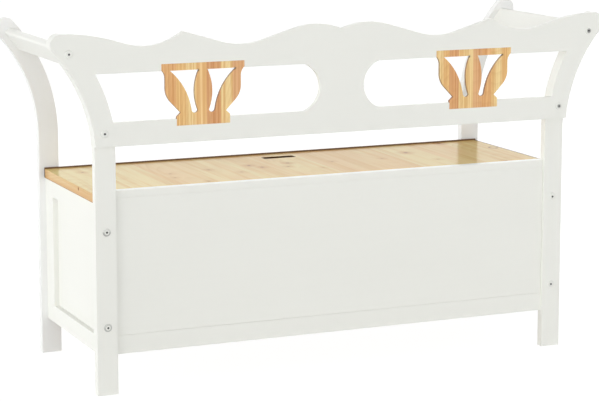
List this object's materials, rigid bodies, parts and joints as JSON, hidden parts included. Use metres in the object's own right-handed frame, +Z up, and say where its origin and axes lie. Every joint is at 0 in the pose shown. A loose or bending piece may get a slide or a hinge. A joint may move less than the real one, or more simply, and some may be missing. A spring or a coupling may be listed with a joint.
{
  "type": "storage bench",
  "caption": "Two-seat hall bench with a waved backrest, pierced splats, flared arms and a lifting seat lid over a storage box.",
  "frame": {"origin": "on the floor, under the middle of the bench's bounding box", "axes": "+X to the sitter's left along the bench, +Y from the front to the back, +Z up"},
  "size_m": [1.273, 0.4274, 0.7502],
  "materials": {
    "white_paint": "painted, satin",
    "lid_pine": "clear varnish, glossy",
    "lipping_stain": "dark stain, varnished",
    "splat_pine": "honey varnish, satin",
    "raw_pine": "planed, bare",
    "bolt_white": "white enamel, satin",
    "fastener_steel": "zinc plated",
    "hinge_steel": "yellow passivated"
  },
  "bodies": {
    "frame": {"arm_bolts": "bolt_white", "armrest_left": "white_paint", "armrest_right": "white_paint", "back_panel": "white_paint", "back_rail_low": "white_paint", "back_rail_top": "white_paint", "backrest_bolts": "bolt_white", "backrest_panel": "white_paint", "barrel_nuts": "fastener_steel", "box_floor": "raw_pine", "floor_cleat_back": "raw_pine", "floor_cleat_front": "raw_pine", "frame_bolts": "bolt_white", "front_panel": "white_paint", "front_rail_low": "white_paint", "front_rail_top": "white_paint", "hinge_leaf_rail_left": "hinge_steel", "hinge_leaf_rail_right": "hinge_steel", "hinge_pin_left": "hinge_steel", "hinge_pin_right": "hinge_steel", "hinge_screws_rail": "hinge_steel", "insert_nuts": "fastener_steel", "leg_back_left": "white_paint", "leg_back_right": "white_paint", "leg_front_left": "white_paint", "leg_front_right": "white_paint", "side_panel_left": "white_paint", "side_panel_right": "white_paint", "side_rail_low_left": "white_paint", "side_rail_low_right": "white_paint", "side_rail_top_left": "white_paint", "side_rail_top_right": "white_paint", "side_stile_back_left": "white_paint", "side_stile_back_right": "white_paint", "side_stile_front_left": "white_paint", "side_stile_front_right": "white_paint", "splat_left": "splat_pine", "splat_pins": "raw_pine", "splat_right": "splat_pine", "wall_dowels": "raw_pine"},
    "lid": {"batten_screws": "fastener_steel", "hinge_leaf_lid_left": "hinge_steel", "hinge_leaf_lid_right": "hinge_steel", "hinge_screws_lid": "hinge_steel", "lid_batten_front": "raw_pine", "lid_batten_rear": "raw_pine", "lid_board_01": "lid_pine", "lid_board_02": "lid_pine", "lid_board_03": "lid_pine", "lid_board_04": "lid_pine", "lid_board_05": "lid_pine", "lid_board_06": "lid_pine", "lid_board_07": "lid_pine", "lid_board_08": "lid_pine", "lid_board_09": "lid_pine", "lid_board_10": "lid_pine", "lid_board_11": "lid_pine", "lid_lipping": "lipping_stain"}
  },
  "joints": [
    {"name": "lid_hinge", "type": "hinge", "parent": "frame", "child": "lid", "pos_m": [0, 0.1699, 0.4179], "axis": [-1, 0, 0], "range_deg": [0, 93.5]}
  ]
}
